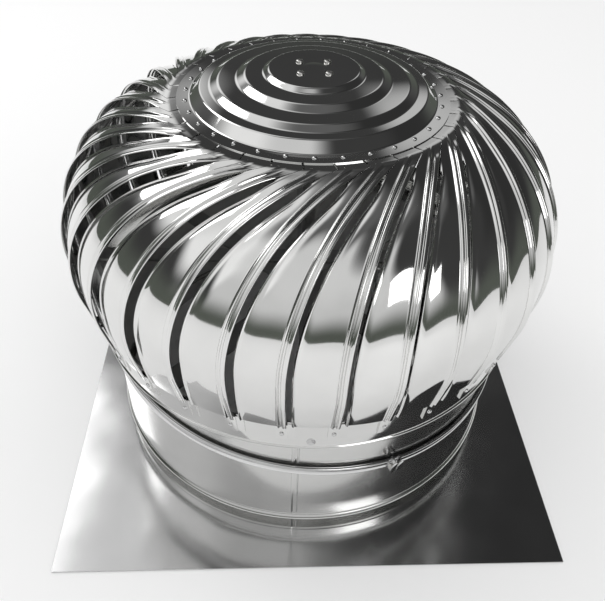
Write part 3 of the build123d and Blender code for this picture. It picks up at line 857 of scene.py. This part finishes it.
tip_rows = 8
rows_along = 72
tip_end_radius = 0.128
tip_end_drop = 0.0011
tip_side_gap = radians(2)
tip_drop_rate = 2.2
across_steps = len(blade_row(0)) - 1
tip_row = blade_row(tip_travel)
bpy.ops.object.select_all(action="DESELECT")
bpy.ops.mesh.primitive_grid_add(
    x_subdivisions=across_steps, y_subdivisions=rows_along + tip_rows, size=1
)
blade = bpy.context.object
blade.name = "blade_skin"
in_rows = sorted(blade.data.vertices, key=lambda point: (round(point.co.y, 5), point.co.x))
for number, corner in enumerate(in_rows):
    line, column = divmod(number, across_steps + 1)
    if column == 0 and line <= rows_along:
        row = blade_row(flank_end + (tip_travel - flank_end) * line / rows_along)
    elif column == 0:
        share = (line - rows_along) / tip_rows
        row = []
        for step, place in enumerate(tip_row):
            across = step / across_steps
            radius = tip_end_radius + (place.xy.length - tip_end_radius) * (1 - share)
            tab_side = disc_rivet_heading + (0.5 - across) * (pitch - tip_side_gap)
            spot = atan2(place.y, place.x) * (1 - share) + tab_side * share
            fall = (flange_height - tip_end_drop - place.z) * min(share * tip_drop_rate, 1)
            row.append(Vector((radius * cos(spot), radius * sin(spot), place.z + fall)))
    corner.co = row[column]
bpy.context.view_layer.objects.active = blade
bpy.ops.object.mode_set(mode="EDIT")
bpy.ops.mesh.select_all(action="SELECT")
bpy.ops.mesh.normals_make_consistent(inside=False)
bpy.ops.object.mode_set(mode="OBJECT")
middle_face = blade.data.polygons[len(blade.data.polygons) // 2]
if middle_face.normal.dot(middle_face.center - Vector((0, 0, widest_height))) < 0:
    blade.data.flip_normals()
tab_bottom = 0.201
tab_top = 0.229
tab_half = 0.006
inner_tab_end = 0.014


def ring_tab(start, end, layer, heading):
    """Foot tab: a patch of sheet bent to lie on the ring, in one of two layers."""
    bpy.ops.object.select_all(action="DESELECT")
    bpy.ops.mesh.primitive_grid_add(x_subdivisions=6, y_subdivisions=2, size=1)
    tab = bpy.context.object
    for corner in tab.data.vertices:
        level = (tab_bottom + tab_top) / 2 + (tab_top - tab_bottom) * corner.co.y
        shift = start + (end - start) * (corner.co.x + 0.5)
        out = ring_radius(level) + (layer + 1) * head_sheet
        spot = heading + shift / ring_radius(rivet_height)
        corner.co = (out * cos(spot), out * sin(spot), level)
    return tab


outer_tab = ring_tab(-tab_half, tab_half, 1, rivet_heading)
inner_tab = ring_tab(-tab_half, inner_tab_end, 0, rivet_heading - pitch)
bpy.ops.object.select_all(action="DESELECT")
for tab in (outer_tab, inner_tab):
    if tab.data.polygons[0].normal.dot(tab.data.polygons[0].center) < 0:
        tab.data.flip_normals()
for part in (outer_tab, inner_tab, blade):
    part.select_set(True)
bpy.context.view_layer.objects.active = blade
bpy.ops.object.join()
sheet = blade.modifiers.new("sheet", "SOLIDIFY")
sheet.thickness = head_sheet
sheet.offset = -1
bpy.ops.object.modifier_apply(modifier="sheet")
bpy.ops.object.shade_smooth_by_angle(angle=radians(40))
blade_steel = sheet_steel("blade_steel", (0.80, 0.80, 0.79), 0.05, 0.0005, (0.02, 0.02, 1), 11)
blade.data.materials.append(blade_steel)
for index in range(blade_count):
    if index:
        copy = blade.copy()
        copy.data = blade.data.copy()
        scene.collection.objects.link(copy)
        copy.data.transform(Matrix.Rotation(index * pitch, 4, "Z"))
    else:
        copy = blade
    copy.name = f"blade_skin_{index + 1:02d}"
    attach(copy, "rotor")
    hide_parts(f"blade_{index + 1:02d}")

# ---------------------------------------------------------------------------
# Blade rivets: small bright steel rivets with domed heads, one driven through
# each blade at the disc and one at the ring.
rivet_radius = 0.0025
rivet_flatness = 0.72
disc_rivet_circle = 0.1337
ring_rivet_stand = 0.00202


def rivet_row(name, replaced, radius, height, first, lean):
    """A head on each blade: one dome, copied round the axis and joined."""
    bpy.ops.object.select_all(action="DESELECT")
    bpy.ops.mesh.primitive_uv_sphere_add(segments=20, ring_count=10, radius=rivet_radius)
    head = bpy.context.object
    head.name = name
    bpy.ops.object.mode_set(mode="EDIT")
    bpy.ops.mesh.select_all(action="SELECT")
    bpy.ops.transform.resize(value=(1, 1, rivet_flatness))
    bpy.ops.mesh.bisect(
        plane_co=(0, 0, 0), plane_no=(0, 0, 1), clear_inner=True, use_fill=True
    )
    bpy.ops.object.mode_set(mode="OBJECT")
    heads = [head]
    for index in range(1, blade_count):
        twin = head.copy()
        twin.data = head.data.copy()
        scene.collection.objects.link(twin)
        heads.append(twin)
    for index, twin in enumerate(heads):
        seat = Matrix.Rotation(first + index * pitch, 4, "Z")
        seat = seat @ Matrix.Translation((radius, 0, height)) @ Matrix.Rotation(lean, 4, "Y")
        twin.data.transform(seat)
    bpy.ops.object.select_all(action="DESELECT")
    for twin in heads:
        twin.select_set(True)
    bpy.context.view_layer.objects.active = head
    bpy.ops.object.join()
    bpy.ops.object.shade_smooth_by_angle(angle=radians(40))
    head.data.materials.append(rivet_steel)
    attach(head, "rotor")
    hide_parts(replaced)


rivet_row(
    "top_rivet_heads", "top_rivets", disc_rivet_circle, flange_height, disc_rivet_heading, 0
)
rivet_row(
    "ring_rivet_heads",
    "ring_rivets",
    ring_radius(rivet_height) + ring_rivet_stand,
    rivet_height,
    rivet_heading,
    pi / 2 + ring_slope,
)
